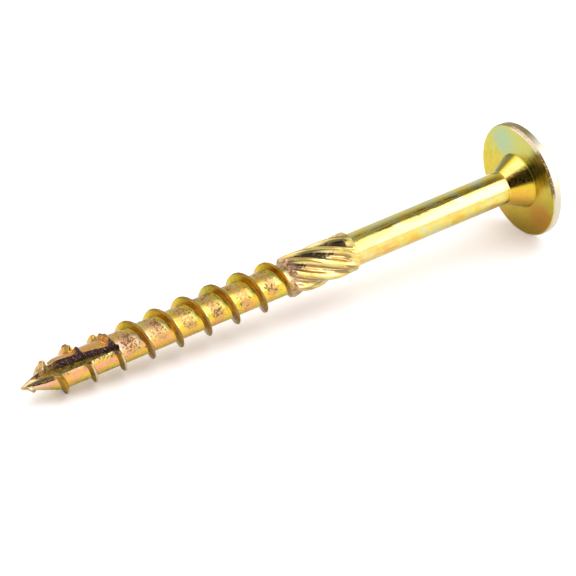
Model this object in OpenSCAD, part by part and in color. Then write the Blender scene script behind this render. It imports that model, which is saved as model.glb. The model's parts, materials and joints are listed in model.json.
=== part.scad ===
// Washer head wood screw, lying on its rim and its thread as it comes to rest.
// Each sub-part is drawn about the screw's own axis, with the tip at z = 0.

/* [Overall] */
// Length under the head, from the tip to the bearing face
screw_length = 100; // [85:1:160]

/* [Head] */
// Diameter of the washer head
head_d = 20.2; // [17:0.1:26]
// Thickness of the head at its rim
rim_h = 1.9; // [1.4:0.1:3]
// Height of the dome above the rim
dome_h = 1.2; // [0.6:0.1:2]
// Bevel on the rim's edge by the bearing face
rim_edge = 0.2; // [0.1:0.05:0.5]
// Bevel on the rim's edge by the dome
rim_bevel = 0.5; // [0.1:0.05:0.7]
// Diameter of the cone where it meets the head
neck_d = 9.8; // [8.5:0.1:12]
// Length of the cone under the head
neck_h = 3.8; // [2:0.1:6]

/* [Drive] */
// Size of the six-lobe recess across two opposite lobes
drive_d = 6.75; // [5.6:0.05:6.75]
// Size of the recess across two opposite valleys
drive_root_d = 4.85; // [3.9:0.05:4.9]
// Depth of the straight wall of the recess
drive_depth = 3.2; // [2:0.1:3.5]
// Depth of the cone in the floor of the recess
drive_cone_h = 0.8; // [0.3:0.1:1.2]

/* [Shank] */
// Diameter of the smooth shank
shank_d = 5.8; // [5.5:0.05:6.4]

/* [Reamer] */
// Diameter over the reamer's ribs
reamer_d = 7.05; // [6.5:0.05:7.6]
// Length of the reamer
reamer_h = 13.5; // [8:0.1:16]
// Number of ribs
rib_count = 7; // [5:1:10]
// Height in which a rib would turn once round the axis
rib_lead = 38; // [30:1:70]
// Turn of the ribs about the axis
rib_turn = 11; // [0:1:60]
// Share of a rib's pitch that its crest takes
rib_crest = 0.28; // [0.2:0.02:0.4]
// Share of a rib's pitch that the groove's floor takes
rib_groove = 0.34; // [0.2:0.02:0.4]

/* [Thread] */
// Largest diameter over the thread
thread_d = 8.05; // [7.6:0.05:9]
// Diameter over the thread where it first reaches its full height
thread_tip_d = 7.3; // [7:0.05:8]
// Diameter of the core
core_d = 5.4; // [5:0.05:5.8]
// Distance from one turn of the thread to the next
pitch = 5.5; // [4:0.1:6.5]
// Length from the tip to the reamer
thread_h = 51.2; // [40:0.1:60]
// Distance from the tip to the first crest that reaches the floor
first_crest = 7.8; // [7.5:0.1:10]
// Length over which the thread rises from the tip
lead_in = 8; // [6:0.5:10]
// Length over which the thread falls away at the reamer
run_out = 9.5; // [5:0.5:12]
// Width of the thread's crest
crest_w = 0.35; // [0.2:0.05:0.7]
// Width of the thread at its root
root_w = 1.2; // [1:0.05:2.4]

/* [Point] */
// Angle of the point, across both sides
point_angle = 40; // [30:1:50]
// Diameter of the blunt tip
tip_d = 0.4; // [0.2:0.05:0.8]
// Length of the cutting slot from the tip
slot_h = 17.6; // [10:0.1:25]
// Distance from the axis to the slot's cutting cheek
slot_cheek_r = 0.95; // [0.8:0.05:1.8]
// Distance from the tip to where the slot's floor is level with the axis
slot_floor_z = 3; // [3:0.1:8]
// Angle at which the slot's floor rises from the axis
slot_rise = 8; // [4:0.5:12]
// Way that the slot's cheek faces, from the side that lies on the floor
slot_turn = 170; // [0:1:359]
// Length of the pinched seam from the tip
seam_h = 5.4; // [3:0.1:7]
// Width and depth of the pinched seam
seam_w = 0.5; // [0.2:0.05:0.6]
// Way that the pinched seam faces, from the side that lies on the floor
seam_turn = 252; // [0:1:359]

/* [Hidden] */
$fn = 96;

head_r = head_d / 2;
core_r = core_d / 2;
head_h = rim_h + dome_h;
// The dome is a cap of one sphere, from bevel to bevel.
dome_foot_r = head_r - rim_bevel;
dome_r = (dome_foot_r ^ 2 + dome_h ^ 2) / (2 * dome_h);
dome_centre = screw_length + head_h - dome_r;

// How far one sub-part reaches into the next, so that they fuse
shank_overlap = 1.6;
thread_overlap = 1.8;
thread_end = thread_h + thread_overlap;
reamer_end = thread_h + reamer_h;
// The reamer's grooves stay just above the core that ends inside it.
reamer_root_r = core_r + 0.08;
// The reamer's two ends are sunk in the core and in the shank, and the shank starts inside the reamer.
sunk = 0.15;
reamer_start_r = core_r - sunk;
reamer_end_r = shank_d / 2 - sunk;
shank_start_r = min(reamer_root_r, shank_d / 2) - sunk;

// Steps round one turn of the thread, and round the recess
turn_steps = 36;
recess_steps = 72;
// Slices along the reamer, and the share of its length in which it rises and ends
reamer_steps = 14;
reamer_rise = 0.05;
reamer_fall = 0.06;

// Each row of the thread is a helix: [distance from the crest's middle, share of the thread's height].
thread_rows = [
    [-crest_w / 2, 1],
    [crest_w / 2, 1],
    [root_w / 2, 0],
    [pitch / 2, 0],
    [pitch - root_w / 2, 0],
];
row_count = len(thread_rows);
// Turns that the rows run past the tip, where they close on its ring
spare_turns = ceil((first_crest + pitch) / pitch) + 1;
all_rows = row_count * (spare_turns + ceil((thread_end - first_crest) / pitch) + 2);

function core_at(z) = min(core_r, tip_d / 2 + z * tan(point_angle / 2));

// Height of the thread over its core: a quick rise, a slow widening and a round fall
function crest_at(z) =
    let (
        full_from = lead_in,
        full_to = thread_end - run_out,
        grown = (z - full_from) / (full_to - full_from),
        tip_height = thread_tip_d / 2 - core_r,
        full_height = thread_d / 2 - core_r
    )
    z < full_from ? tip_height * (1 - (1 - z / full_from) ^ 2)
    : z < full_to ? tip_height + (full_height - tip_height) * grown
    : full_height * (1 - ((z - full_to) / run_out) ^ 3);

function row_z(k, i) =
    first_crest + pitch * (floor(k / row_count) - spare_turns + i / turn_steps) + thread_rows[k % row_count][0];

function thread_point(k, i) =
    let (
        z = min(max(row_z(k, i), 0), thread_end),
        r = core_at(z) + crest_at(z) * thread_rows[k % row_count][1],
        a = 360 * i / turn_steps
    )
    [r * cos(a), r * sin(a), z];

// Points before the tip are those of the tip's ring, and points past the end those of the end's ring.
function thread_id(k, i) =
    i == turn_steps ? thread_id(k + row_count, 0)
    : row_z(k, i) <= 0 ? i
    : row_z(k, i) >= thread_end ? all_rows * turn_steps + i
    : k * turn_steps + i;

function is_triangle(f) = f[0] != f[1] && f[1] != f[2] && f[2] != f[0];

module threaded_point() {
    points = [for (k = [0:all_rows], i = [0:turn_steps - 1]) thread_point(k, i)];
    sides = [
        for (k = [0:all_rows - row_count - 2], i = [0:turn_steps - 1])
            let (
                a = thread_id(k, i),
                b = thread_id(k + 1, i),
                c = thread_id(k + 1, i + 1),
                d = thread_id(k, i + 1)
            )
            each [[a, b, c], [a, c, d]]
    ];
    tip_ring = [for (i = [0:turn_steps - 1]) i];
    end_ring = [for (i = [turn_steps - 1:-1:0]) all_rows * turn_steps + i];
    polyhedron(points, concat([for (f = sides) if (is_triangle(f)) f], [tip_ring, end_ring]));
}

// A square notch: its cheek is parallel to the axis, and its floor rises to the core's surface.
module cutting_slot() {
    reach = 2 * thread_d;
    rotate(slot_turn)
        intersection() {
            translate([slot_cheek_r, 0, slot_floor_z])
                rotate([-slot_rise, 0, 0])
                    translate([0, 0, -slot_h - reach])
                        cube([reach, reach, 2 * (slot_h + reach)]);
            translate([-reach, -reach, -reach])
                cube([2 * reach, 2 * reach, slot_h + reach]);
        }
}

// A narrow vee along the point's own slope, beside the slot
module pinched_seam() {
    length = seam_h / cos(point_angle / 2);
    rotate(seam_turn)
        translate([tip_d / 2, 0, 0])
            rotate([0, point_angle / 2, 0])
                linear_extrude(length)
                    polygon([[-seam_w, 0], [seam_w, -seam_w], [seam_w, seam_w]]);
}

// Across one rib and its groove: [share of the rib's pitch, share of the rib's height]
rib_outline = let (flank = (1 - rib_crest - rib_groove) / 2) [
    [0, 0.97],
    [rib_crest / 2, 1],
    [rib_crest, 0.97],
    [rib_crest + flank, 0],
    [rib_crest + flank + rib_groove / 2, 0],
    [1 - flank, 0],
];

function reamer_ring(t) = [
    for (rib = [0:rib_count - 1], p = rib_outline)
        let (
            ribbed_r = reamer_root_r + (reamer_d / 2 - reamer_root_r) * p[1],
            r = t == 0 ? reamer_start_r : t == 1 ? reamer_end_r : ribbed_r,
            a = rib_turn + 360 * (rib + p[0]) / rib_count + 360 * reamer_h * t / rib_lead
        )
        [r * cos(a), r * sin(a), thread_h + reamer_h * t]
];

module reamer() {
    places = [0, reamer_rise, for (s = [1:reamer_steps - 1]) s / reamer_steps, 1 - reamer_fall, 1];
    rings = [for (t = places) reamer_ring(t)];
    n = rib_count * len(rib_outline);
    last = n * (len(places) - 1);
    sides = [
        for (k = [0:len(places) - 2], i = [0:n - 1])
            let (a = k * n + i, b = k * n + (i + 1) % n)
            each [[a, a + n, b + n], [a, b + n, b]]
    ];
    ends = [[for (i = [0:n - 1]) i], [for (i = [n - 1:-1:0]) last + i]];
    polyhedron([for (ring = rings) each ring], concat(sides, ends));
}

module shank_and_neck() {
    rotate_extrude()
        polygon([
            [0, reamer_end - shank_overlap],
            [shank_start_r, reamer_end - shank_overlap],
            [shank_d / 2, reamer_end - shank_overlap / 2],
            [shank_d / 2, screw_length - neck_h],
            [neck_d / 2, screw_length],
            [neck_d / 2, screw_length + rim_h / 2],
            [0, screw_length + rim_h / 2],
        ]);
}

module washer_head() {
    intersection() {
        rotate_extrude()
            polygon([
                [0, screw_length],
                [head_r - rim_edge, screw_length],
                [head_r, screw_length + rim_edge],
                [head_r, screw_length + rim_h - rim_bevel],
                [dome_foot_r, screw_length + rim_h],
                [dome_foot_r, screw_length + head_h],
                [0, screw_length + head_h],
            ]);
        translate([0, 0, dome_centre])
            sphere(dome_r, $fn = 256);
    }
}

module drive_recess() {
    top = screw_length + head_h;
    middle = (drive_d + drive_root_d) / 4;
    wave = (drive_d - drive_root_d) / 4;
    translate([0, 0, top - drive_depth])
        linear_extrude(drive_depth + head_h)
            polygon([
                for (i = [0:recess_steps - 1])
                    let (a = 360 * i / recess_steps)
                    (middle + wave * cos(6 * a)) * [cos(a), sin(a)]
            ]);
    translate([0, 0, top - drive_depth - drive_cone_h])
        cylinder(h = drive_cone_h + 0.01, r1 = 0, r2 = drive_root_d / 2);
}

// At rest the screw lies on the edge of its rim and on its first full crest.
rest_r = core_at(first_crest) + crest_at(first_crest);
rest_tilt = atan((head_r - rest_r) / (screw_length + rim_edge - first_crest));
rest_lift = rest_r * cos(rest_tilt) - first_crest * sin(rest_tilt);
// From the tip to the furthest point of the dome, along the floor
rest_span = dome_centre * cos(rest_tilt) + dome_r;

module lay_down() {
    translate([-rest_span / 2, 0, rest_lift])
        rotate([0, 90 - rest_tilt, 0])
            children();
}

module screw() {
    color("goldenrod")
        lay_down()
            difference() {
                union() {
                    difference() {
                        threaded_point();
                        cutting_slot();
                        pinched_seam();
                    }
                    reamer();
                    shank_and_neck();
                    washer_head();
                }
                drive_recess();
            }
}

screw();
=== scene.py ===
import json
import math

import bmesh
import bpy
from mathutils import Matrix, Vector


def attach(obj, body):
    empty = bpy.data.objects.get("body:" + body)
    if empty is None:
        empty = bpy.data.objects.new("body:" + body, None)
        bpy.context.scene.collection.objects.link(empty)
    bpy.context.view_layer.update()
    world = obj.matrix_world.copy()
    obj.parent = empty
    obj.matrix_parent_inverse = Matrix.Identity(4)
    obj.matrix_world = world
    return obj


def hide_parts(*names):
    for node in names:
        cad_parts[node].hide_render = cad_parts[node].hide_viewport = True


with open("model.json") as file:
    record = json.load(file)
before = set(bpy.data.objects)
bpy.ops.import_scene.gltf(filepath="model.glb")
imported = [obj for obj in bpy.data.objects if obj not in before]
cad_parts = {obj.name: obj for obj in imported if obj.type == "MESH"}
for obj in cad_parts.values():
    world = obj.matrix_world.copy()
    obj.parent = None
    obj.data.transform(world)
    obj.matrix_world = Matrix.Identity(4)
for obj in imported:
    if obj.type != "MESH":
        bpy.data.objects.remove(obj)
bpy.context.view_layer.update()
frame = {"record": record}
print("frame loaded")


class Wire:
    # one socket of a node tree: arithmetic on it adds Math nodes
    def __init__(self, tree, socket=None):
        self.tree = tree
        self.socket = socket

    def node(self, kind, inputs=None, settings=None, out=0):
        made = self.tree.nodes.new(kind)
        for name, value in (settings or {}).items():
            if name == "stops":
                setStops(made.color_ramp, value)
            else:
                setattr(made, name, value)
        for key, value in (inputs or {}).items():
            several = value if isinstance(value, list) else [value]
            for one in several:
                if isinstance(one, Wire):
                    self.tree.links.new(one.socket, made.inputs[key])
                else:
                    made.inputs[key].default_value = one
        return Wire(self.tree, made.outputs[out] if made.outputs else None)

    def other(self, out):  # another output of the same node
        return Wire(self.tree, self.socket.node.outputs[out])

    def math(self, operation, *terms):
        return self.node("ShaderNodeMath", dict(enumerate(terms)), {"operation": operation})

    def __add__(self, term):
        return self.math("ADD", self, term)

    def __radd__(self, term):
        return self.math("ADD", term, self)

    def __sub__(self, term):
        return self.math("SUBTRACT", self, term)

    def __rsub__(self, term):
        return self.math("SUBTRACT", term, self)

    def __mul__(self, term):
        return self.math("MULTIPLY", self, term)

    def __rmul__(self, term):
        return self.math("MULTIPLY", term, self)

    def __truediv__(self, term):
        return self.math("DIVIDE", self, term)

    def __rtruediv__(self, term):
        return self.math("DIVIDE", term, self)

    def __pow__(self, term):
        return self.math("POWER", self, term)

    def __rpow__(self, term):
        return self.math("POWER", term, self)

    def __gt__(self, term):
        return self.math("GREATER_THAN", self, term)

    def __lt__(self, term):
        return self.math("LESS_THAN", self, term)

    def __abs__(self):
        return self.math("ABSOLUTE", self)

    def least(self, term, soft=0.0):
        return self.math("SMOOTH_MIN", self, term, soft)

    def most(self, term, soft=0.0):
        return self.math("SMOOTH_MAX", self, term, soft)

    def wrap(self, low, high):
        return self.math("WRAP", self, high, low)

    def ramp(self, start, end):  # a smooth rise from 0 at start to 1 at end
        return self.node(
            "ShaderNodeMapRange",
            {"Value": self, "From Min": start, "From Max": end},
            {"interpolation_type": "SMOOTHSTEP"},
        )

    def band(self, middle, outer, inner):  # 1 as near to the middle as inner, 0 from outer on
        return abs(self - middle).ramp(outer, inner)

    def between(self, start, full, fading, end):  # up from start to full, down from fading to end
        return self.ramp(start, full) * self.ramp(end, fading)

    def vector(self, x, y, z):
        return self.node("ShaderNodeCombineXYZ", {"X": x, "Y": y, "Z": z})

    def vectorMath(self, operation, inputs, out="Vector"):
        return self.node("ShaderNodeVectorMath", {0: self, **inputs}, {"operation": operation}, out)

    def dot(self, direction):
        return self.vectorMath("DOT_PRODUCT", {1: direction}, "Value")

    def noise(self, scale, detail=2.0, roughness=0.5, out="Fac"):
        return self.node(
            "ShaderNodeTexNoise",
            {"Vector": self, "Scale": scale, "Detail": detail, "Roughness": roughness},
            out=out,
        )

    def jitter(self, scale, size, detail=2.0, roughness=0.5):  # a small random shift of each point
        shift = self.noise(scale, detail, roughness, "Color")
        return shift.vectorMath("SUBTRACT", {1: (0.5, 0.5, 0.5)}).vectorMath("SCALE", {"Scale": size})

    def mixTo(self, colour, factor):  # this colour, going over to another
        return self.node(
            "ShaderNodeMix",
            {0: factor, 6: self, 7: solid(colour)},
            {"data_type": "RGBA"},
            out=2,
        )


def setStops(rampData, stops):
    while len(rampData.elements) < len(stops):
        rampData.elements.new(1.0)
    for element, (place, colour) in zip(rampData.elements, stops):
        element.position = place
        element.color = solid(colour)


def solid(colour):
    return (*colour, 1.0)


# how the screw lies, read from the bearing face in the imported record
bearing = next(mount for mount in frame["record"]["mounts"] if mount["name"] == "bearing_face")
axis = -Vector(bearing["axis"])
screwLength = 100.0  # tip to bearing face, mm
tip = Vector((bearing["pos_m"][0], 0.0, bearing["pos_m"][2])) - axis * screwLength / 1000
tilt = math.asin(axis.z)
down = Vector((math.sin(tilt), 0.0, -math.cos(tilt)))  # where angles about the axis start

# sizes in mm, measured from the tip along the axis; turns are shares of a full turn
thread = {
    "coreRadius": 2.7,
    "tipHeight": 0.95,  # ridge over the core where it first is full
    "fullHeight": 1.325,
    "pitch": 5.5,
    "firstCrest": 7.8,
    "leadIn": 8.0,
    "fullTo": 43.5,
    "runOut": 9.5,
    "crestWidth": 0.32,
    "crestSoft": 0.3,
    "rootWidth": 1.2,
    "rootSoft": 0.16,
    "end": 51.2,
    "pointSlope": math.tan(math.radians(20)),
    "pointRadius": 0.2,
    "pointRound": 0.3,
    "shoulderSoft": 0.3,  # between the point and the core
    "dents": 0.05,  # unevenness of the crest's edge
}
reamer = {
    "rootRadius": 2.75,
    "crestRadius": 3.525,
    "ribs": 7.0,
    "ribSoft": 0.5,
    "lead": 38.0,
    "turn": 11 / 360,
    "crestShare": 0.28,
    "grooveShare": 0.34,
    "start": 51.2,
    "length": 13.5,
    "sink": 0.3,  # of both ends, below the foot of the ribs
    "riseFrom": -0.15,  # after the start
    "riseTo": 0.75,
    "fallFrom": 0.5,  # before the end
    "fallTo": -0.05,
    "runOutFrom": 2.8,  # before the end, where the grooves fill up
    "runOutTo": 0.4,
    "runOut": 0.92,
    "shankRadius": 2.9,
    "shankSink": 0.35,
    "shankSunkTo": 1.5,  # before the end
    "shankFullFrom": 0.4,
    "coreSoft": 0.12,
    "shankSoft": 0.08,
}
# dents knocked into the ridge by the point: turn, distance, half width of each, depth
nicks = [
    (0.440, 4.75, 0.050, 1.0, -0.45),
    (0.500, 5.05, 0.020, 1.0, 0.70),
    (0.390, 9.95, 0.035, 0.9, -0.32),
    (0.478, 10.4, 0.030, 0.9, 0.85),
    (0.512, 10.6, 0.020, 0.9, -0.15),
    (0.420, 15.6, 0.040, 0.9, 0.55),
    (0.515, 16.1, 0.022, 0.9, -0.25),
]
head = {
    "radius": 10.095,
    "neckRadius": 4.9,
    "neckLength": 3.8,
    "rimHeight": 1.9,
    "rimBevel": 0.5,
    "domeHeight": 1.2,
    "neckFootRound": 0.4,
    "neckTopRound": 0.15,
    "edgeRound": 0.34,
    "bevelRound": 0.4,
    "domeRound": 0.5,
}
mesh = {
    "columns": 196,
    "tipRows": 44,
    "tipCrowding": 1.3,  # rows stand closer towards the tip
    "tipZone": 2.6,
    "ridgeRows": (0.0, 0.09, 0.16, 0.25, 0.37, 0.49, 0.6, 0.67, 0.82, 1.1, 1.55, 2.1),  # from the crest
    "reamerRows": 70,
    "shankFrom": 65.4,
    "shankRows": 20,
    "undersideRows": 12,
    "domeRows": 22,
    "domeShare": 0.9,  # of the dome, within the round of its edge
    "mergeWithin": 0.0008,
    "creaseOver": math.radians(38),
}


def fillet(before, corner, after, radius, count):
    # points of an arc that rounds a corner of the outline
    first = (before - corner).normalized()
    second = (after - corner).normalized()
    half = first.angle(second) / 2
    inward = (first + second).normalized()
    centre = corner + inward * radius / math.sin(half)
    side = (first - second).normalized()
    sweep = math.pi / 2 - half  # from the arc's middle to its end
    arc = []
    for k in range(count + 1):
        bend = sweep * (1 - 2 * k / count)
        arc.append(centre + (side * math.sin(bend) - inward * math.cos(bend)) * radius)
    return arc


def headOutline():
    # shank, neck, washer and dome as radius and distance from the tip
    rimTop = screwLength + head["rimHeight"]
    domeFoot = head["radius"] - head["rimBevel"]
    domeRadius = (domeFoot**2 + head["domeHeight"] ** 2) / (2 * head["domeHeight"])
    domeCentre = rimTop + head["domeHeight"] - domeRadius
    domeFrom = math.asin(domeFoot / domeRadius) * mesh["domeShare"]

    def onDome(bend):
        return Vector((domeRadius * math.sin(bend), domeCentre + domeRadius * math.cos(bend)))

    # each corner with the radius of its round and the steps in that
    corners = [
        (reamer["shankRadius"], screwLength - head["neckLength"], head["neckFootRound"], 6),
        (head["neckRadius"], screwLength, head["neckTopRound"], 6),
        (head["radius"], screwLength, head["edgeRound"], 7),
        (head["radius"], rimTop - head["rimBevel"], head["bevelRound"], 5),
        (domeFoot, rimTop, head["domeRound"], 5),
    ]
    shankFoot = Vector((reamer["shankRadius"], mesh["shankFrom"]))
    places = [shankFoot, *(Vector(corner[:2]) for corner in corners), onDome(domeFrom)]
    points = [shankFoot.lerp(places[1], k / mesh["shankRows"]) for k in range(mesh["shankRows"])]
    rounds = [fillet(*places[k : k + 3], *corner[2:]) for k, corner in enumerate(corners)]
    neckFoot, neckTop, edge, bevel, domeEdge = rounds
    underside = [
        neckTop[-1].lerp(edge[0], k / mesh["undersideRows"]) for k in range(1, mesh["undersideRows"])
    ]
    points += neckFoot + neckTop + underside + edge + bevel + domeEdge
    for k in range(1, mesh["domeRows"] + 1):
        points.append(onDome(domeFrom * (1 - k / mesh["domeRows"])))
    return points


def rowList():
    # each row runs once round the screw: radius, distance, share of the helix, 1 if its radius is fixed
    rows = []
    for k in range(mesh["tipRows"] + 1):
        rows.append((0, mesh["tipZone"] * (k / mesh["tipRows"]) ** mesh["tipCrowding"], 0, 0))
    pitch = thread["pitch"]
    firstTurn = math.floor((mesh["tipZone"] - thread["firstCrest"]) / pitch) - 1
    lastTurn = math.ceil((thread["end"] - thread["firstCrest"]) / pitch) + 1
    offsets = sorted({sign * offset for offset in mesh["ridgeRows"] for sign in (-1, 1)})
    for turn in range(firstTurn, lastTurn):
        for offset in [-pitch / 2] + offsets:
            rows.append((0, thread["firstCrest"] + pitch * turn + offset, 1, 0))
    for k in range(mesh["reamerRows"] + 1):
        share = k / mesh["reamerRows"]
        rows.append((0, thread["end"] + (mesh["shankFrom"] - thread["end"]) * share, 0, 0))
    rows += [(point.x, point.y, 0, 1) for point in headOutline()]
    return rows


def newTree(name, sizes):
    tree = bpy.data.node_groups.new(name, "GeometryNodeTree")
    tree.interface.new_socket("Geometry", in_out="INPUT", socket_type="NodeSocketGeometry")
    tree.interface.new_socket("Geometry", in_out="OUTPUT", socket_type="NodeSocketGeometry")
    for label in sizes:
        tree.interface.new_socket(label, in_out="INPUT", socket_type="NodeSocketFloat")
    source = tree.nodes.new("NodeGroupInput")
    wires = {label: Wire(tree, source.outputs[label]) for label in sizes}
    return tree, Wire(tree, source.outputs["Geometry"]), wires


def threadRadius(w, turnShare, height):
    # core with its point, and the ridge that winds round it
    cone = w["pointRadius"] + height * w["pointSlope"]
    blunt = 1 - (1 - (height / w["pointRound"]).least(1.0)) ** 2
    core = cone.least(w["coreRadius"], w["shoulderSoft"]) * blunt.math("SQRT", blunt)
    climb = height - w["firstCrest"] - w["pitch"] * turnShare
    offset = climb.wrap(w["pitch"] * -0.5, w["pitch"] * 0.5)
    flank = (w["rootWidth"] * 0.5 - abs(offset)) / ((w["rootWidth"] - w["crestWidth"]) * 0.5)
    ridge = flank.most(0.0, w["rootSoft"]).least(1.0, w["crestSoft"])
    grown = ((height - w["leadIn"]) / (w["fullTo"] - w["leadIn"])).most(0.0).least(1.0)
    rise = 1 - (1 - (height / w["leadIn"]).least(1.0)) ** 2
    fall = 1 - ((height - w["fullTo"]) / w["runOut"]).most(0.0).least(1.0) ** 3
    tall = (w["tipHeight"] + (w["fullHeight"] - w["tipHeight"]) * grown) * rise * fall
    return core, ridge, tall


def reamerRadius(w, turnShare, height):
    # twisted ribs that sink into the core at one end and into the shank at the other
    far = 9.0  # takes a form out of the way beyond its own stretch
    ribsBefore, shankBefore = 1.0, 2.5  # how far each form reaches back, hidden in the one before
    beyond = height - w["start"]
    length = w["length"]
    phase = w["ribs"] * (turnShare - w["turn"] - beyond / w["lead"]) - w["crestShare"] * 0.5
    flankShare = (1 - w["crestShare"] - w["grooveShare"]) * 0.5
    rib = (0.5 - w["grooveShare"] * 0.5 - abs(phase.wrap(-0.5, 0.5))) / flankShare
    rib = rib.most(0.0, w["ribSoft"]).least(1.0, w["ribSoft"])
    filled = beyond.ramp(length - w["runOutFrom"], length - w["runOutTo"])
    rib = rib + (1.0 - rib) * filled * w["runOut"]
    swell = beyond.between(w["riseFrom"], w["riseTo"], length - w["fallFrom"], length - w["fallTo"])
    ribbed = w["rootRadius"] - w["sink"] * (1 - swell)
    ribbed = ribbed + (w["crestRadius"] - w["rootRadius"]) * rib * swell
    sunk = beyond.ramp(length - w["shankFullFrom"], length - w["shankSunkTo"])
    shankStart = w["shankRadius"] - w["shankSink"] * sunk
    onRibs = beyond > -ribsBefore
    onShank = beyond > length - shankBefore
    return (ribbed + far) * onRibs - far, (shankStart + far) * onShank - far


def screwTree(plating, torn):
    sizes = {"thread " + name: size for name, size in thread.items()}
    sizes.update({"reamer " + name: size for name, size in reamer.items()})
    tree, rows, wires = newTree("rolled screw", sizes)
    threadWires = {name: wires["thread " + name] for name in thread}
    reamerWires = {name: wires["reamer " + name] for name in reamer}
    make = rows.node
    rowCount = len(rowList())
    grid = make(
        "GeometryNodeMeshGrid",
        {"Size X": 1.0, "Size Y": 1.0, "Vertices X": mesh["columns"] + 1, "Vertices Y": rowCount},
    )
    onGrid = make("ShaderNodeSeparateXYZ", {0: make("GeometryNodeInputPosition")})
    column = onGrid + 0.5
    rowShare = (onGrid.other("Y") + 0.5) * (rowCount - 1)
    rowIndex = rowShare.math("ROUND", rowShare)

    def rowValue(field):
        return make("GeometryNodeSampleIndex", {"Geometry": rows, "Value": field, "Index": rowIndex})

    rowPlace = make("ShaderNodeSeparateXYZ", {0: make("GeometryNodeInputPosition")})
    lean = rowValue(make("GeometryNodeInputNamedAttribute", {"Name": "lean"}))
    turned = rowValue(make("GeometryNodeInputNamedAttribute", {"Name": "turned"}))
    rowRadius = rowValue(rowPlace)
    rowHeight = rowValue(rowPlace.other("Z"))
    leaning = rowHeight + threadWires["pitch"] * column
    leaning = leaning.most(mesh["tipZone"]).least(threadWires["end"])
    height = rowHeight + (leaning - rowHeight) * lean
    ribbedLength = (height - reamerWires["start"]).most(0.0).least(reamerWires["length"])
    turnShare = column + ribbedLength / reamerWires["lead"]
    angle = turnShare * math.tau
    across, level = angle.math("COSINE", angle), angle.math("SINE", angle)

    core, ridge, tall = threadRadius(threadWires, turnShare, height)
    spot = rows.vector(across * 4.0, level * 4.0, height)
    uneven = (spot.noise(1.1, 3.0) - 0.5) * threadWires["dents"] * 2.5
    for share, along, spread, width, depth in nicks:
        gap = abs((turnShare - share).wrap(-0.5, 0.5)) / spread
        near = abs(height - along) / width
        uneven = uneven - depth * gap.ramp(1.0, 0.35) * near.ramp(1.0, 0.6)
    body = core + ridge * (tall + uneven * tall.least(1.0))
    ribbed, shankStart = reamerRadius(reamerWires, turnShare, height)
    rolled = body.most(ribbed, reamerWires["coreSoft"]).most(shankStart, reamerWires["shankSoft"])
    radius = rolled + (rowRadius - rolled) * turned
    placed = rows.vector(radius * across, radius * level, height)
    rolledSkin = make("GeometryNodeSetPosition", {"Geometry": grid, "Position": placed})
    skin = make("GeometryNodeMergeByDistance", {"Geometry": rolledSkin, "Distance": mesh["mergeWithin"]})

    cutters = [slotCutter(rows, torn), seamCutter(rows, torn), *recessCutters(rows)]
    cut = make(
        "GeometryNodeMeshBoolean",
        {"Mesh 1": skin, "Mesh 2": cutters},
        {"operation": "DIFFERENCE", "solver": "MANIFOLD"},
    )
    laid = make(
        "GeometryNodeTransform",
        {
            "Geometry": cut,
            "Translation": tip,
            "Rotation": (0, math.pi / 2 - tilt, 0),
            "Scale": (0.001, 0.001, 0.001),
        },
    )
    smooth = make("GeometryNodeSetShadeSmooth", {"Geometry": laid, "Shade Smooth": True})
    sharp = make("GeometryNodeInputMeshEdgeAngle") > mesh["creaseOver"]
    creased = make(
        "GeometryNodeSetShadeSmooth",
        {"Geometry": smooth, "Selection": sharp, "Shade Smooth": False},
        {"domain": "EDGE"},
    )
    real = make("GeometryNodeRealizeInstances", {"Geometry": creased})
    tornFaces = make("GeometryNodeMaterialSelection", {"Material": torn})
    rest = make("FunctionNodeBooleanMath", {0: tornFaces}, {"operation": "NOT"})
    plated = make("GeometryNodeSetMaterial", {"Geometry": real, "Selection": rest, "Material": plating})
    tree.links.new(plated.socket, tree.nodes.new("NodeGroupOutput").inputs[0])
    return tree, sizes


slot = {
    "end": 17.6,
    "cutterWidth": 4.2,
    "cutterReach": 5.0,  # past the tip
    "cheek": 0.92,
    "cheekRiseFrom": 10.0,
    "cheekRise": 0.04,
    "floorStart": 3.0,
    "floorSlope": math.tan(math.radians(8)),
    "turn": math.radians(170),
    "tear": 0.16,
}


def slotCutter(start, torn):
    # a square bar with rough sides, sunk obliquely into the point
    make = start.node
    width = slot["cutterWidth"]
    length = slot["end"] + slot["cutterReach"]
    bar = make(
        "GeometryNodeMeshCube",
        {"Size": (width, width, length), "Vertices X": 22, "Vertices Y": 22, "Vertices Z": 110},
    )
    parts = make("ShaderNodeSeparateXYZ", {0: make("GeometryNodeInputPosition")})
    height = parts.other("Z") + (length / 2 - slot["cutterReach"])
    cheekRise = (height - slot["cheekRiseFrom"]).most(0.0) * slot["cheekRise"]
    spot = start.vector(
        parts + (slot["cheek"] + width / 2) + cheekRise,
        parts.other("Y") + width / 2 + (height - slot["floorStart"]) * slot["floorSlope"],
        height,
    )
    tear = spot.jitter(2.6, slot["tear"], 4.0, 0.65)
    shaped = make("GeometryNodeSetPosition", {"Geometry": bar, "Position": spot, "Offset": tear})
    turned = make("GeometryNodeTransform", {"Geometry": shaped, "Rotation": (0, 0, slot["turn"])})
    return make("GeometryNodeSetMaterial", {"Geometry": turned, "Material": torn})


seam = {
    "start": 1.8,
    "length": 5.7,
    "width": 0.32,
    "turn": math.radians(252),
    "slope": math.radians(20),
    "foot": 0.2,
    "ragged": 0.22,
}


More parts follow.
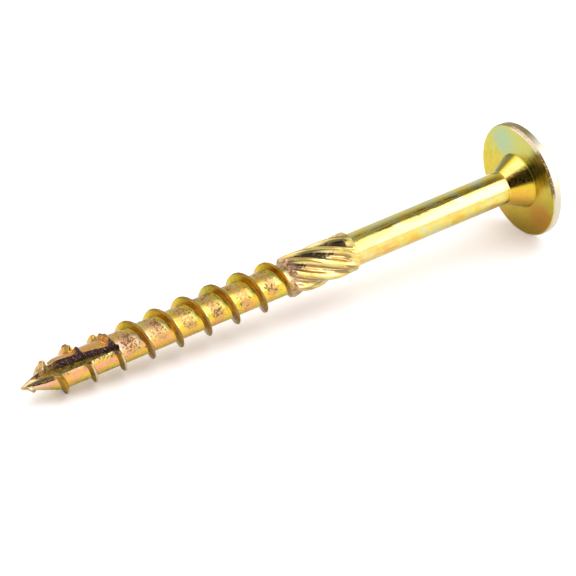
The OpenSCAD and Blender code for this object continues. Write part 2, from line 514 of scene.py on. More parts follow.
def seamCutter(start, torn):
    # a thin wedge along the point's slope, where the metal was pinched together
    make = start.node
    half = seam["width"]
    long = seam["length"] - seam["start"]
    bar = make(
        "GeometryNodeMeshCube",
        {"Size": (2 * half, 2 * half, long), "Vertices X": 6, "Vertices Y": 4, "Vertices Z": 30},
    )
    parts = make("ShaderNodeSeparateXYZ", {0: make("GeometryNodeInputPosition")})
    middle = parts.other("Z") / (long / 2)
    pinch = ((parts / (2 * half) + 0.5) * 0.85 + 0.15) * (1.05 - middle * middle * 0.75)
    spot = start.vector(parts, parts.other("Y") * pinch, parts.other("Z") + (seam["start"] + long / 2))
    ragged = spot.jitter(1.4, seam["ragged"])
    shaped = make("GeometryNodeSetPosition", {"Geometry": bar, "Position": spot, "Offset": ragged})
    leant = make(
        "GeometryNodeTransform",
        {"Geometry": shaped, "Translation": (seam["foot"], 0, 0), "Rotation": (0, seam["slope"], 0)},
    )
    turned = make("GeometryNodeTransform", {"Geometry": leant, "Rotation": (0, 0, seam["turn"])})
    return make("GeometryNodeSetMaterial", {"Geometry": turned, "Material": torn})


recess = {"lobes": 6.0, "middle": 2.9, "wave": 0.475, "depth": 3.2, "coneDepth": 0.8, "coneRadius": 2.42}


def recessCutters(start):
    # six-lobe recess with a cone in its floor
    make = start.node
    top = screwLength + head["rimHeight"] + head["domeHeight"]
    spare = 2.0  # over the dome
    overlap = 0.02  # of the cone with the recess
    bar = make(
        "GeometryNodeMeshCylinder",
        {"Vertices": 144, "Side Segments": 6, "Radius": 1.0, "Depth": recess["depth"] + spare},
    )
    parts = make("ShaderNodeSeparateXYZ", {0: make("GeometryNodeInputPosition")})
    swing = parts.math("ARCTAN2", parts.other("Y"), parts) * recess["lobes"]
    size = recess["middle"] + recess["wave"] * swing.math("COSINE", swing)
    spot = start.vector(parts * size, parts.other("Y") * size, parts.other("Z"))
    lobed = make("GeometryNodeSetPosition", {"Geometry": bar, "Position": spot})
    middle = top - recess["depth"] + (recess["depth"] + spare) / 2
    socket = make("GeometryNodeTransform", {"Geometry": lobed, "Translation": (0, 0, middle)})
    cone = make(
        "GeometryNodeMeshCone",
        {
            "Vertices": 96,
            "Radius Top": recess["coneRadius"],
            "Radius Bottom": 0.0,
            "Depth": recess["coneDepth"] + overlap,
        },
    )
    coneFoot = top - recess["depth"] - recess["coneDepth"]
    drilled = make("GeometryNodeTransform", {"Geometry": cone, "Translation": (0, 0, coneFoot)})
    return [socket, drilled]


def makeScrew(plating, torn):
    rows = rowList()
    rowMesh = bpy.data.meshes.new("screw rows")
    rowMesh.from_pydata([(row[0], 0.0, row[1]) for row in rows], [], [])
    for name, column in (("lean", 2), ("turned", 3)):
        values = rowMesh.attributes.new(name, "FLOAT", "POINT")
        values.data.foreach_set("value", [float(row[column]) for row in rows])
    rolled = bpy.data.objects.new("screw.rows", rowMesh)
    bpy.context.scene.collection.objects.link(rolled)
    tree, sizes = screwTree(plating, torn)
    modifier = rolled.modifiers.new("rolled screw", "NODES")
    modifier.node_group = tree
    for item in tree.interface.items_tree:
        if item.name in sizes and item.in_out == "INPUT":
            modifier[item.identifier] = float(sizes[item.name])
    evaluated = rolled.evaluated_get(bpy.context.evaluated_depsgraph_get())
    screwMesh = bpy.data.meshes.new_from_object(evaluated)
    screwMesh.name = "screw.rolled"
    bpy.data.objects.remove(rolled)
    cleanMesh(screwMesh, plating, torn)
    piece = bpy.data.objects.new("rolled_screw", screwMesh)
    bpy.context.scene.collection.objects.link(piece)
    print("screw mesh", len(screwMesh.vertices), "vertices", len(screwMesh.polygons), "triangles")
    return piece


def cleanMesh(screwMesh, plating, torn):
    # joins slivers left by the cuts and keeps the two materials in use
    names = [material.name if material else "" for material in screwMesh.materials]
    tidy = bmesh.new()
    tidy.from_mesh(screwMesh)
    for face in tidy.faces:
        face.material_index = 1 if names[face.material_index] == torn.name else 0
    bmesh.ops.remove_doubles(tidy, verts=tidy.verts, dist=2e-6)
    bmesh.ops.dissolve_degenerate(tidy, edges=tidy.edges, dist=1e-6)
    bmesh.ops.triangulate(tidy, faces=tidy.faces)  # so that no two neighbours share a triangle
    openEdges = sum(1 for edge in tidy.edges if len(edge.link_faces) != 2)
    print("edges without exactly two faces:", openEdges)
    screwMesh.materials.clear()
    screwMesh.materials.append(plating)
    screwMesh.materials.append(torn)
    tidy.to_mesh(screwMesh)
    tidy.free()


def shaderTree(name):
    material = bpy.data.materials.new(name)
    material.use_nodes = True
    tree = material.node_tree
    tree.nodes.clear()
    return material, Wire(tree)


def ownFrame(start):
    # millimetres along the axis from the tip, down towards the floor, and sideways
    place = start.node("ShaderNodeTexCoord", out="Object")
    spot = place.vectorMath("SUBTRACT", {1: tip})
    return spot.dot(axis * 1000), spot.dot(down * 1000), spot.dot((0, 1000, 0))


# borders between the parts of the screw, mm from the tip
borders = {
    "threadEnd": (51.2, 52.2),
    "flankEnd": (52.0, 50.0),
    "ridgeFoot": (0.58, 0.68),  # from the crest
    "nearFoot": (-1.5, -0.7, -0.6, -0.4),
    "midway": (0.8, 2.3),
    "crestEdge": (-0.12, -0.03),  # from the crest's radius
    "shankStart": (64.4, 64.8),
    "neckStart": (96.0, 96.4),
    "neckEnd": (99.7, 99.9),
    "washerStart": (99.6, 99.9),
    "rimRadius": (9.85, 10.05),
}


def screwParts(start):
    # where a point lies, in mm and turns, and how far it belongs to each part of the screw
    along, low, side = ownFrame(start)
    radius = (low * low + side * side) ** 0.5
    turnShare = low.math("ARCTAN2", side, low) / math.tau
    pitch = thread["pitch"]
    fromCrest = (along - thread["firstCrest"] - pitch * turnShare).wrap(-pitch / 2, pitch / 2)
    offset = abs(fromCrest)
    growth = (thread["fullHeight"] - thread["tipHeight"]) / (thread["fullTo"] - thread["leadIn"])
    crestRadius = thread["coreRadius"] + thread["tipHeight"] + (along - thread["leadIn"]) * growth
    onThread = along.ramp(*reversed(borders["threadEnd"]))
    rib = turnShare - reamer["turn"] - (along - reamer["start"]) / reamer["lead"]
    rib = (rib * reamer["ribs"] - reamer["crestShare"] / 2).wrap(-0.5, 0.5)
    onWasher = along.ramp(*borders["washerStart"])
    spot = start.vector(low, side, along)
    drawnOut = 0.12  # scale of the noise lengthways in streaks and rings
    return {
        "along": along,
        "low": low,
        "side": side,
        "radius": radius,
        "facing": (turnShare - film["facing"]).wrap(-0.5, 0.5),
        "midway": offset.ramp(*borders["midway"]),  # half way between two turns
        "root": onThread * fromCrest.between(*borders["nearFoot"]),  # foot of the near flank, where shade is painted
        "thread": onThread,
        "core": onThread * offset.ramp(*borders["ridgeFoot"]),
        "flank": offset.ramp(*reversed(borders["ridgeFoot"])) * along.ramp(*borders["flankEnd"]),
        "crest": onThread * (radius - crestRadius).ramp(*borders["crestEdge"]),
        "reamer": along.between(*borders["threadEnd"], *borders["shankStart"]),
        "shank": along.between(*borders["shankStart"], *borders["neckStart"]),
        "head": along.ramp(*borders["neckStart"]),
        "neck": along.between(*borders["neckStart"], *borders["neckEnd"]),
        "washer": onWasher,
        "rim": onWasher * radius.ramp(*borders["rimRadius"]),
        "spot": spot,
        "patches": spot.noise(1 / film["patchSize"], 2.0) - 0.5,
        "mottle": spot.noise(1 / film["mottleSize"], 3.0, 0.6) - 0.5,
        "clusters": spot.noise(film["clusterScale"], 2.0) - 0.5,
        "specks": spot.noise(1 / film["stainSize"], 3.0, 0.65) - 0.5,
        "grain": spot.noise(film["grainScale"], 2.0, 0.6) - 0.5,
        "streaks": start.vector(low, side, along * drawnOut).noise(2.6, 3.0, 0.6) - 0.5,
        "rings": start.vector(radius * 6.0, low * drawnOut, side * drawnOut).noise(1.0, 2.0) - 0.5,
        "ribLines": start.vector(rib * 7.0, along * 0.25, 0.0).noise(1.0, 2.0) - 0.5,
    }


# In all the looks below, a Band is middle, outer and inner in turns from the side that faces the camera,
# Turns are the four borders of a stretch of turns, and From, To and Along are borders in mm or turns.
film = {
    "tones": [
        (0.00, (0.88, 0.37, 0.22)),
        (0.14, (0.92, 0.45, 0.14)),
        (0.28, (0.92, 0.47, 0.065)),
        (0.46, (0.92, 0.59, 0.03)),
        (0.66, (0.88, 0.69, 0.03)),
        (0.84, (0.66, 0.61, 0.04)),
        (1.00, (0.48, 0.55, 0.23)),
    ],
    "middle": 0.63,
    "patchSize": 3.2,
    "patchShift": 1.35,
    "mottleSize": 0.9,
    "mottleShift": 0.65,
    "facing": 0.647,  # the turn that lay towards the camera
    "rosyBand": (0.05, 0.12, 0.02),
    "rosyTo": (29.0, 18.0),
    "orangeBand": (0.13, 0.10, 0.02),
    "orangeTo": (80.0, 64.0),
    # lime at the lower edge is a painted grazing sheen, olive on the upper side a painted reflection
    "paintedLimeSheenFrom": (0.18, 0.25),
    "paintedOliveReflectionFrom": (-0.10, -0.18),
    "bareFrom": (0.10, 0.18),  # no gloss below
    "stain": (0.115, 0.042, 0.018),
    "stainSize": 0.42,
    "stainedFrom": (0.16, 0.27),  # level of the specks
    "clusterScale": 0.30,
    "grainScale": 5.5,
    "roughness": 0.17,
    "pitDepth": 0.000024,
    "coat": 0.9,
    "coatRoughness": 0.12,
}


def filmTone(at):
    # film tone with random patches: rose and orange below, yellow above, with a painted grazing sheen in
    # lime at the lower edge and a painted reflection in olive on top
    facing, along = at["facing"], at["along"]
    rosy = facing.band(*film["rosyBand"]) * along.ramp(*film["rosyTo"]) * at["core"]
    orangeParts = at["core"] * 0.8 + along.ramp(*film["orangeTo"]) * at["shank"]
    orange = facing.band(*film["orangeBand"]) * orangeParts
    # painted sheen in lime at the lower edge and painted reflection in olive on the upper side
    paintedLimeSheen = facing.ramp(*film["paintedLimeSheenFrom"]) * at["core"]
    paintedOliveReflection = facing.ramp(*film["paintedOliveReflectionFrom"]) * (at["core"] + at["shank"])
    flecks = (at["spot"].noise(0.45, 1.0) - 0.5) * rosy
    tone = film["middle"] - rosy * 0.38 - orange * 0.26 + paintedLimeSheen * 0.16 + paintedOliveReflection * 0.14 + flecks * 1.8
    tone = tone + at["patches"] * film["patchShift"] + at["mottle"] * film["mottleShift"]
    return tone - at["reamer"] * 0.06 + at["streaks"] * at["shank"] * 0.4


threadLook = {
    "paleFilmAndHighlight": (0.94, 0.84, 0.30),  # pale colour painted where the highlight falls on the core
    "paintedHighlightBand": (-0.01, 0.07, 0.02),
    "rosyFilmAndHighlight": (0.93, 0.58, 0.42),  # rosy film with a painted highlight, behind the slot
    "rosyFilmAndHighlightBand": (-0.03, 0.13, 0.04),
    "rosyFilmAndHighlightAlong": (16.0, 18.0, 20.0, 30.0),
    "root": (0.30, 0.25, 0.015),  # painted olive shade at the foot of the ridge
    "rootShadeBand": (-0.07, 0.15, 0.06),
    "worn": (0.66, 0.36, 0.15),  # unburnished strip between the turns
    "wornTurns": (-0.42, -0.34, 0.06, 0.16),
    "wornFrom": (14.0, 18.0),
    # amber film, darkened partly as painted shade for the dim floor the flanks mirror
    "flank": (0.36, 0.15, 0.012),
    "flankPaleFrom": (-0.14, -0.24),
    "bySlot": (0.80, 0.38, 0.11),
    "bySlotBand": (-0.20, 0.16, 0.10),
    "bySlotTo": (18.5, 16.5),
    "crest": (0.34, 0.20, 0.09),
    "bareCrestFrom": (-0.02, 0.06),
    "bareCrestTo": (25.0, 17.0),
    "burr": (0.82, 0.72, 0.48),
    "point": (0.88, 0.80, 0.58),
    "pointTo": (6.0, 2.5),
}


def threadWear(colour, at):
    # pale painted highlight and painted shade at the ridge's foot on the core, amber flanks partly
    # darkened as painted shade, rubbed crest, worn strip on the upper side and a pale point
    facing, along, look = at["facing"], at["along"], threadLook
    # pale colour painted in the highlight band of the core
    paleFilmAndHighlight = at["core"] * facing.band(*look["paintedHighlightBand"]) * (0.6 + at["patches"] * 2.0)
    colour = colour.mixTo(look["paleFilmAndHighlight"], paleFilmAndHighlight)
    # rosy film and painted highlight in the highlight band behind the slot
    rosyFilmAndHighlight = at["core"] * facing.band(*look["rosyFilmAndHighlightBand"]) * along.between(*look["rosyFilmAndHighlightAlong"])
    colour = colour.mixTo(look["rosyFilmAndHighlight"], rosyFilmAndHighlight * (0.6 + at["patches"] * 2.0))
    # painted olive shade at the foot of the near flank
    shade = at["root"] * facing.band(*look["rootShadeBand"]) * (0.75 + at["mottle"] * 1.5)
    colour = colour.mixTo(look["root"], shade)
    upper = at["core"] * facing.between(*look["wornTurns"]) * along.ramp(*look["wornFrom"])
    rubbed = at["midway"] * 0.9 + at["clusters"] * 1.8 + at["specks"] * 2.4 + at["grain"] * 1.2
    worn = rubbed.ramp(0.35, 0.75) * upper
    colour = colour.mixTo(look["worn"], worn * (0.82 + at["grain"] * 1.6))
    # amber film on the flanks, darkened partly as painted shade; paler on the upper side
    amber = at["flank"] * (1.0 - facing.ramp(*look["flankPaleFrom"]) * 0.6)
    colour = colour.mixTo(look["flank"], amber * (0.80 + at["patches"] * 1.2))
    bySlot = facing.band(*look["bySlotBand"]) * along.ramp(*look["bySlotTo"])
    bySlot = bySlot * (at["flank"] * 0.8 + at["core"]) * (0.85 + at["mottle"] * 1.5)
    colour = colour.mixTo(look["bySlot"], bySlot)
    colour = colour.mixTo(look["crest"], at["crest"] * 0.85)
    bareCrest = at["crest"] * facing.ramp(*look["bareCrestFrom"]) * along.ramp(*look["bareCrestTo"])
    colour = colour.mixTo(look["burr"], bareCrest * 0.7)
    return colour.mixTo(look["point"], along.ramp(*look["pointTo"]) * 0.4), worn


slotLook = {
    "edgeBand": (0.0, 0.22, 0.06),  # here in mm
    "edgeFrom": (-0.1, 0.1),
    "cheekBurrTo": (18.0, 17.4),
    "floorBurrTo": (10.0, 7.0),
    "cheekLip": (-1.3, -0.1),
    "cheekLipFrom": (-0.2, 0.3),
    "floorLip": (-1.0, 0.0),
    "floorLipFrom": (-0.4, 0.2),
    "lipAlong": (4.0, 7.0, 17.0, 18.5),
}


def acrossSlot(low, side):
    # mm from the slot's cheek, into the slot
    return low * math.cos(slot["turn"]) + side * math.sin(slot["turn"]) - slot["cheek"]


def slotWear(colour, at):
    # pale burrs on the slot's two edges, bare metal with a painted edge highlight, and the torn lips
    # beside them
    along, look = at["along"], slotLook
    across = acrossSlot(at["low"], at["side"])
    beside = at["side"] * math.cos(slot["turn"]) - at["low"] * math.sin(slot["turn"])
    above = beside - (along - slot["floorStart"]) * slot["floorSlope"]
    cheekEdge = across.band(*look["edgeBand"]) * above.ramp(*look["edgeFrom"])
    floorEdge = above.band(*look["edgeBand"]) * across.ramp(*look["edgeFrom"])
    cheekBurr = cheekEdge * along.ramp(*look["cheekBurrTo"])
    floorBurr = floorEdge * along.ramp(*look["floorBurrTo"])
    # pale burr colour along both edges, partly a painted edge highlight
    colour = colour.mixTo(threadLook["burr"], cheekBurr * 0.3 + floorBurr * 0.7)
    cheekLip = across.ramp(*look["cheekLip"]) * above.ramp(*look["cheekLipFrom"])
    floorLip = above.ramp(*look["floorLip"]) * across.ramp(*look["floorLipFrom"])
    return colour, cheekLip.most(floorLip) * along.between(*look["lipAlong"])


reamerLook = {
    "film": (0.86, 0.68, 0.28),
    "pale": (0.95, 0.88, 0.62),
    # brown lines, and painted shade in the grooves
    "brownLinesAndShade": (0.32, 0.17, 0.06),
    # soot, and painted shade in the upper grooves and at the end
    "groove": (0.04, 0.02, 0.012),
    "grooveBand": (-0.12, 0.13, 0.06),
    "hollowRadius": (3.25, 2.85),
    "endSootBand": (-0.15, 0.10, 0.03),
    "endSootFrom": (61.0, 62.6),
    "join": (0.60, 0.36, 0.25),  # where the thread runs out
    "joinAlong": (49.6, 50.8, 52.2, 53.4),
}


def reamerWear(colour, at):
    # paler ribs, brown lines with painted shade in the grooves, soot with painted shade in the upper
    # grooves and at the end, and a rosy ring at the thread's end
    facing, along, look = at["facing"], at["along"], reamerLook
    colour = colour.mixTo(look["film"], at["reamer"] * (0.55 + at["mottle"] * 0.8))
    colour = colour.mixTo(look["pale"], at["reamer"] * at["ribLines"].ramp(-0.02, -0.14) * 0.5)
    # depth in the grooves, where shade is painted
    inGrooveShade = at["radius"].ramp(*look["hollowRadius"])
    brownLinesAndShade = at["reamer"] * (inGrooveShade * 0.6 + at["ribLines"] * 4.0 + at["specks"] * 0.8).ramp(0.15, 0.60)
    colour = colour.mixTo(look["brownLinesAndShade"], brownLinesAndShade * 0.85)
    # soot and painted shade in the upper grooves and at the ribs' end
    sootAndShade = inGrooveShade * facing.band(*look["grooveBand"])
    sootAndShade = sootAndShade + facing.band(*look["endSootBand"]) * along.ramp(*look["endSootFrom"]) * 0.45
    sootyAndShaded = at["reamer"] * (sootAndShade + at["specks"] * 1.8 + at["streaks"] * 0.8).ramp(0.40, 0.95)
    colour = colour.mixTo(look["groove"], sootyAndShaded * 0.96)
    return colour.mixTo(look["join"], along.between(*look["joinAlong"]) * 0.6), sootyAndShaded


shankLook = {
    "paleFilmAndHighlight": (0.95, 0.86, 0.58),
    "paintedShankHighlightBand": (0.01, 0.10, 0.04),
    "scratch": (0.20, 0.12, 0.05),
    "scratchBand": (-0.08, 0.05, 0.02),
}


def shankWear(colour, at):
    # pale film in streaks, a painted highlight in pale colour where the light falls, and scratches along
    # the light's upper edge
    facing, look = at["facing"], shankLook
    paleFilmAndHighlight = (at["streaks"] * 0.9 + at["patches"] * 1.5).ramp(-0.25, 0.45) * at["shank"]
    # pale colour painted where the highlight falls on the shank
    paintedShankHighlight = at["shank"] * facing.band(*look["paintedShankHighlightBand"])
    colour = colour.mixTo(look["paleFilmAndHighlight"], (paleFilmAndHighlight * 0.6).most(paintedShankHighlight * 0.3))
    scratches = (at["streaks"] + at["specks"] * 0.6).ramp(0.03, 0.14) * facing.band(*look["scratchBand"])
    return colour.mixTo(look["scratch"], scratches * at["shank"] * 0.8)


headLook = {
    # olive film darkened with painted shade
    "washer": (0.56, 0.44, 0.03),
    "faceRadius": (9.95, 9.75),
    "washerTop": (0.54, 0.55, 0.13),
    "washerTopFrom": (-1.0, -8.0),
    "washerFootShade": (0.44, 0.23, 0.008),
    "washerFootShadeFrom": (2.5, 9.0),
    "bluePatch": (0.40, 0.53, 0.30),
    "bluePlace": (-6.0, 3.9),  # down and sideways from the axis
    "blueReach": (4.4, 0.4),
    "orangePatch": (0.62, 0.24, 0.02),
    "orangePlace": (4.6, -6.2),
    "orangeReach": (5.4, 0.8),
    "paintedNeckReflection": (0.06, 0.05, 0.003),  # painted dark reflection of the neck, beside it
    "paintedNeckReflectionBand": (-0.005, 0.08, 0.025),
    "paintedNeckReflectionRadius": (10.8, 8.5),
    "neck": (0.80, 0.40, 0.06),
    "neckBand": (0.14, 0.11, 0.04),
    "neckPaintedHighlight": (0.88, 0.74, 0.28),
    "neckPaintedHighlightBand": (-0.10, 0.06, 0.02),
    # painted shade on the neck's top
    "neckTop": (0.22, 0.20, 0.05),
    "neckTopShadeFrom": (-0.15, -0.19),
    "neckStripeReflection": (0.10, 0.055, 0.018),
    "neckStripeReflectionBand": (-0.01, 0.065, 0.035),
    "rim": (0.70, 0.65, 0.54),
    # painted shade on the rim's upper part
    "rimTop": (0.36, 0.29, 0.09),
    "rimTopShadeTurns": (-0.32, -0.26, -0.13, -0.08),
    "edgeRadius": (9.25, 9.50),
    "edgeTo": (100.45, 100.20),
    "edgeRose": (0.96, 0.70, 0.57),
    "edgeRoseTurns": (-0.19, -0.15, -0.06, -0.04),
    "edgeDark": (0.17, 0.08, 0.055),
    "edgeDarkTurns": (-0.06, -0.04, 0.07, 0.10),
}


def patch(at, place, reach):
    # a blot on the washer with an uneven outline
    gap = ((at["low"] - place[0]) ** 2 + (at["side"] - place[1]) ** 2) ** 0.5
    return (gap + at["mottle"] * 3.0 + at["patches"] * 3.0).ramp(*reach)


def washerWear(colour, at):
    # olive face, darkened as painted shade and darker still towards the foot as painted shade, with a
    # blue and an orange patch, and a painted dark reflection of the neck beside it
    low, look = at["low"], headLook
    face = at["washer"] * at["radius"].ramp(*look["faceRadius"])
    # olive film darkened with painted shade
    colour = colour.mixTo(look["washer"], face * (0.68 + at["mottle"] * 0.9 + at["rings"] * 1.3))
    colour = colour.mixTo(look["washerTop"], face * low.ramp(*look["washerTopFrom"]) * 0.8)
    # painted shade, darker towards the foot
    foot = (low + at["patches"] * 6.0).ramp(*look["washerFootShadeFrom"])
    colour = colour.mixTo(look["washerFootShade"], face * foot * 0.65)
    colour = colour.mixTo(look["bluePatch"], face * patch(at, look["bluePlace"], look["blueReach"]) * 0.9)
    orange = patch(at, look["orangePlace"], look["orangeReach"])
    colour = colour.mixTo(look["orangePatch"], face * orange * 0.8)
    # painted dark reflection of the neck on the washer
    paintedNeckReflection = face * at["facing"].band(*look["paintedNeckReflectionBand"]) * at["radius"].ramp(*look["paintedNeckReflectionRadius"])
    return colour.mixTo(look["paintedNeckReflection"], paintedNeckReflection * (0.9 + at["rings"] * 1.2))


def neckWear(colour, at):
    # orange below and a pale painted highlight above, with a painted dark reflection as a stripe between
    # the two, and painted shade on the top
    facing, look = at["facing"], headLook
    glow = at["neck"] * facing.band(*look["neckBand"])
    colour = colour.mixTo(look["neck"], glow * (0.75 + at["mottle"] * 0.8))
    # pale colour painted where the highlight falls on the neck
    paleFilmAndHighlight = at["neck"] * facing.band(*look["neckPaintedHighlightBand"])
    colour = colour.mixTo(look["neckPaintedHighlight"], paleFilmAndHighlight * (0.8 + at["mottle"] * 1.2))
    # painted shade on the neck's top
    colour = colour.mixTo(look["neckTop"], at["neck"] * facing.ramp(*look["neckTopShadeFrom"]) * 0.85)
    # painted dark reflection in a stripe
    paintedDarkReflection = at["neck"] * facing.band(*look["neckStripeReflectionBand"])
    return colour.mixTo(look["neckStripeReflection"], paintedDarkReflection * (0.8 + at["specks"] * 2.2))


def rimWear(colour, at):
    # pale rim with painted shade on its upper part, and an edge that is rubbed rosy above and dark on the
    # near side
    facing, look = at["facing"], headLook
    colour = colour.mixTo(look["rim"], at["rim"] * 0.9)
    # painted shade on the rim's upper part
    colour = colour.mixTo(look["rimTop"], at["rim"] * facing.between(*look["rimTopShadeTurns"]) * 0.9)
    edge = at["washer"] * at["radius"].ramp(*look["edgeRadius"]) * at["along"].ramp(*look["edgeTo"])
    rubbed = edge * (at["specks"] * 2.0 + 0.6).ramp(0.2, 0.7) * 0.9
    colour = colour.mixTo(look["edgeRose"], rubbed * facing.between(*look["edgeRoseTurns"]))
    return colour.mixTo(look["edgeDark"], rubbed * facing.between(*look["edgeDarkTurns"]))


def platingMaterial():
    material, start = shaderTree("yellow zinc plating")
    at = screwParts(start)
    colour = start.node("ShaderNodeValToRGB", {0: filmTone(at)}, {"stops": film["tones"]})
    colour, strip = threadWear(colour, at)
    colour, lips = slotWear(colour, at)
    colour, sootyAndShaded = reamerWear(colour, at)
    colour = shankWear(colour, at)
    colour = rimWear(neckWear(washerWear(colour, at), at), at)

    # brown specks, thickest where the film is worn
    worn = strip.most(lips)
    foul = worn * 0.18 - at["core"] * 0.03 - at["shank"] * 0.08 - at["head"] * 0.10
    speckled = at["specks"] + at["clusters"] * 0.6 + at["grain"] * 0.35 + foul
    stained = speckled.ramp(*film["stainedFrom"])
    colour = colour.mixTo(film["stain"], stained * 0.8)

    roughness = film["roughness"] + stained * 0.25 + worn * 0.12 + sootyAndShaded * 0.15 + at["mottle"] * 0.12
    roughness = roughness + at["thread"] * 0.10 + at["reamer"] * 0.15 + at["crest"] * 0.22
    roughness = roughness + at["head"] * 0.05 + at["rim"] * 0.28
    uncoated = worn * 0.5 + at["flank"] * 0.7 + at["reamer"] * 0.5 + at["head"] * 0.7 + stained * 0.5
    uncoated = uncoated + at["crest"] * 0.3 + at["core"] * at["facing"].ramp(*film["bareFrom"]) * 0.6
    coat = film["coat"] * (1.0 - uncoated).most(0.0)
    pits = at["specks"] * (0.35 + at["core"] * 0.5 + worn * 1.3) + at["grain"] * worn * 2.0
    pits = pits - stained * 0.4 + at["streaks"] * at["shank"] * 1.3 + at["rings"] * at["head"]
    dented = start.node(
        "ShaderNodeBump",
        {"Strength": 0.6, "Distance": film["pitDepth"], "Height": pits},
    )
    shader = start.node(
        "ShaderNodeBsdfPrincipled",
        {
            "Base Color": colour,
            "Metallic": 1.0 - stained * 0.4,
            "Roughness": roughness,
            "Coat Weight": coat,
            "Coat Roughness": film["coatRoughness"],
            "Normal": dented,
        },
    )
    start.node("ShaderNodeOutputMaterial", {"Surface": shader})
    return material


tornLook = {
    # torn steel darkened further as painted shade inside the slot and seam
    "dark": (0.055, 0.022, 0.022),
    "cheek": (0.52, 0.39, 0.05),
    "cheekWithin": (0.30, 0.10),
    "cheekFrom": (2.0, 5.0),
    "tipwards": (0.62, 0.40, 0.10),
    "tipwardsTo": (7.5, 4.0),
    # pale specks painted as glints
    "paintedGlint": (0.75, 0.52, 0.45),
    "paintedGlintFrom": (0.58, 0.68),  # level of the fine grain
    "coarseScale": 1.6,
    "fineScale": 4.5,
    "metallic": 0.75,
    "roughness": 0.42,
    "tearDepth": 0.00008,
}


def tornMaterial():
    material, start = shaderTree("torn steel")
    along, low, side = ownFrame(start)
    spot = start.vector(low, side, along)
    coarse = spot.noise(tornLook["coarseScale"], 3.0, 0.6)
    fine = spot.noise(tornLook["fineScale"], 2.0, 0.6)
    onCheek = acrossSlot(low, side).ramp(*tornLook["cheekWithin"]) * along.ramp(*tornLook["cheekFrom"])
    cheekPatch = onCheek * (coarse * 0.5 + fine * 0.5).ramp(0.36, 0.60)
    shades = [(0.0, tornLook["dark"]), (1.0, tornLook["cheek"])]
    colour = start.node("ShaderNodeValToRGB", {0: cheekPatch}, {"stops": shades})
    tipwards = along.ramp(*tornLook["tipwardsTo"]) * coarse.ramp(0.35, 0.6)
    colour = colour.mixTo(tornLook["tipwards"], tipwards)
    # pale specks painted as glints
    colour = colour.mixTo(tornLook["paintedGlint"], fine.ramp(*tornLook["paintedGlintFrom"]) * 0.6)
    ragged = start.node(
        "ShaderNodeBump",
        {"Strength": 0.9, "Distance": tornLook["tearDepth"], "Height": coarse + fine * 0.6},
    )
    shader = start.node(
        "ShaderNodeBsdfPrincipled",
        {
            "Base Color": colour,
            "Metallic": tornLook["metallic"],
            "Roughness": tornLook["roughness"],
            "Normal": ragged,
        },
    )
    start.node("ShaderNodeOutputMaterial", {"Surface": shader})
    return material


materials = platingMaterial(), tornMaterial()
print("materials ready")
screw = makeScrew(*materials)
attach(screw, "root")
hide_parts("screw")

photoView = {
    "target": (-0.00097, -0.00202, 0.00604),
    "azimuth": math.radians(-34.77),
    "elevation": math.radians(30.13),
    "distance": 0.66,
    "lens": 250,
    "sensor": 36,
}


def cameraWay():
    turn, lift = photoView["azimuth"], photoView["elevation"]
    return Vector((math.sin(turn) * math.cos(lift), -math.cos(turn) * math.cos(lift), math.sin(lift)))


def makeCamera():
    data = bpy.data.cameras.new("photo view")
    data.lens = photoView["lens"]
    data.sensor_width = photoView["sensor"]
    data.clip_start = 0.01
    camera = bpy.data.objects.new("photo view", data)
    back = cameraWay()
    camera.location = Vector(photoView["target"]) + back * photoView["distance"]
    camera.rotation_euler = (-back).to_track_quat("-Z", "Y").to_euler()
    bpy.context.scene.collection.objects.link(camera)
    bpy.context.scene.camera = camera


studio = {
    "fill": (0.95, 0.97, 1.0),  # light from all round
    "fillLevel": 0.84,
    "backdrop": (1.0, 1.0, 1.0),
    "floorSize": 1.2,  # ends where it is still white
    "floorColour": (0.80, 0.80, 0.80),
    "floorLift": 0.28,
    "liftColour": (1.0, 0.77, 0.73),  # warmth left in the shadows
    "lampFrom": (0.28, 0.12, 0.72),
    "lampSize": 1.3,
    "lampEnergy": 7.0,
}


def seenRays(start):
    # camera, mirror and glass rays, which all see the white backdrop
    path = start.node("ShaderNodeLightPath", out="Is Camera Ray")
    return path.most(path.other("Is Glossy Ray")).most(path.other("Is Transmission Ray"))


def makeWorld():
    world = bpy.data.worlds.new("studio")
    bpy.context.scene.world = world
    world.use_nodes = True
    world.node_tree.nodes.clear()
    start = Wire(world.node_tree)
    fillColour = {"Color": solid(studio["fill"]), "Strength": studio["fillLevel"]}
    fill = start.node("ShaderNodeBackground", fillColour)
    white = start.node("ShaderNodeBackground", {"Color": solid(studio["backdrop"]), "Strength": 1.0})
    sky = start.node("ShaderNodeMixShader", {0: seenRays(start), 1: fill, 2: white})
    start.node("ShaderNodeOutputWorld", {"Surface": sky})


def stageSheet(name, material):
    sheet = bpy.context.object
    sheet.name = name
    sheet.data.materials.append(material)
    return sheet


def makeFloor():
    material, start = shaderTree("white paper")
    paper = start.node("ShaderNodeBsdfDiffuse", {"Color": solid(studio["floorColour"])})
    seen = start.node("ShaderNodeLightPath", out="Is Camera Ray")
    lift = start.node(
        "ShaderNodeEmission",
        {"Color": solid(studio["liftColour"]), "Strength": seen * studio["floorLift"]},
    )
    shown = start.node("ShaderNodeAddShader", {0: paper, 1: lift})
    start.node("ShaderNodeOutputMaterial", {"Surface": shown})
    bpy.ops.mesh.primitive_plane_add(size=studio["floorSize"])
    stageSheet("floor", material)


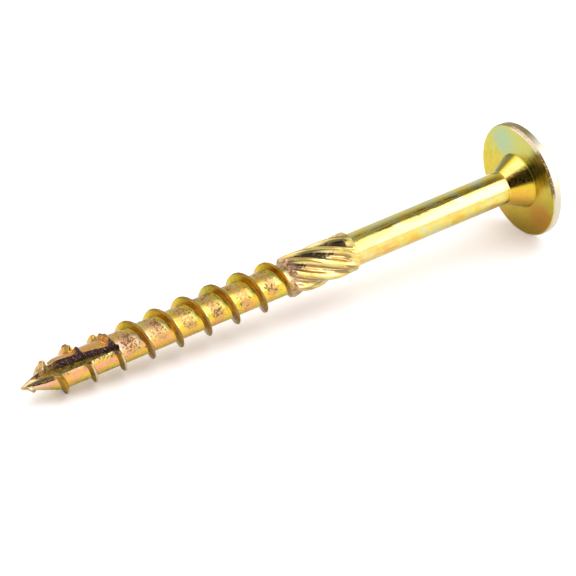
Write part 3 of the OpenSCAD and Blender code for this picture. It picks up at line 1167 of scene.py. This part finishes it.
# brightness of what the metal mirrors, by direction
dome = {
    "reach": 0.32,
    "middle": (0.045, 0.0, 0.0),  # by the head, so that the softbox fades towards the point
    "softbox": 4.2,
    "softboxFoot": 10.0,  # degrees over the top, from the floor in front
    "softboxFootBorder": 8.0,
    "softboxTop": 81.0,
    "softboxTopBorder": 2.0,
    "softboxSide": (0.30, 0.44),
    "rearBorder": 4.0,
    "rightLow": 0.70,  # behind and to the right, at the horizon
    "rightHigh": 0.12,
    "rightHighFrom": (0.45, 1.0),
    "rearHigh": 0.5,
    "rearHighFrom": (0.38, 0.28),
    "leftLow": 0.45,
    "leftHigh": 1.4,
    "leftHighFrom": (148.0, 132.0),  # degrees over the top
    "leftFrom": (0.05, -0.18),
    "dark": 0.08,  # round the camera
    "darkInner": math.cos(math.radians(25)),
    "darkOuter": math.cos(math.radians(30)),
}


def makeDome():
    # seen by the metal alone: a softbox to the right, a dark and a pale rear wall, dark round the camera
    material, start = shaderTree("studio dome")
    way = start.node("ShaderNodeTexCoord", out="Object").vectorMath("NORMALIZE", {})
    x = start.node("ShaderNodeSeparateXYZ", {0: way})
    y, z = x.other("Y"), x.other("Z")
    swing = z.math("ARCTAN2", z, 0.0 - y) * math.degrees(1.0)
    high = dome["rightHigh"] + x.ramp(*dome["rearHighFrom"]) * (dome["rearHigh"] - dome["rightHigh"])
    right = dome["rightLow"] + z.ramp(*dome["rightHighFrom"]) * (high - dome["rightLow"])
    left = dome["leftLow"] + swing.ramp(*dome["leftHighFrom"]) * (dome["leftHigh"] - dome["leftLow"])
    rear = right + (left - right) * x.ramp(*dome["leftFrom"])
    foot, top = dome["softboxFoot"], dome["softboxTop"]
    level = 1.0 + (rear - 1.0) * swing.ramp(top - dome["rearBorder"], top + dome["rearBorder"])
    softbox = swing.ramp(foot, foot + dome["softboxFootBorder"]) * x.ramp(*dome["softboxSide"])
    softbox = softbox * swing.ramp(top + dome["softboxTopBorder"], top - dome["softboxTopBorder"])
    level = level + (dome["softbox"] - level) * softbox
    nearCamera = way.dot(cameraWay()).ramp(dome["darkOuter"], dome["darkInner"])
    level = level + (dome["dark"] - level) * nearCamera
    glow = start.node("ShaderNodeEmission", {"Strength": level})
    start.node("ShaderNodeOutputMaterial", {"Surface": glow})
    bpy.ops.mesh.primitive_uv_sphere_add(
        segments=64, ring_count=32, radius=dome["reach"], location=dome["middle"]
    )
    sheet = stageSheet("dome", material)
    sheet.visible_camera = False
    sheet.visible_diffuse = False
    sheet.visible_shadow = False


def makeLamp():
    # lights the floor and throws the shadow; the metal sees the dome instead
    data = bpy.data.lights.new("overhead lamp", "AREA")
    data.shape = "DISK"
    data.size = studio["lampSize"]
    data.energy = studio["lampEnergy"]
    lamp = bpy.data.objects.new("overhead lamp", data)
    lamp.location = studio["lampFrom"]
    lamp.rotation_euler = (-Vector(lamp.location)).to_track_quat("-Z", "Y").to_euler()
    lamp.visible_glossy = False
    bpy.context.scene.collection.objects.link(lamp)


makeCamera()
makeWorld()
makeFloor()
makeDome()
makeLamp()
bpy.context.scene.view_settings.view_transform = "Standard"
print("studio ready")
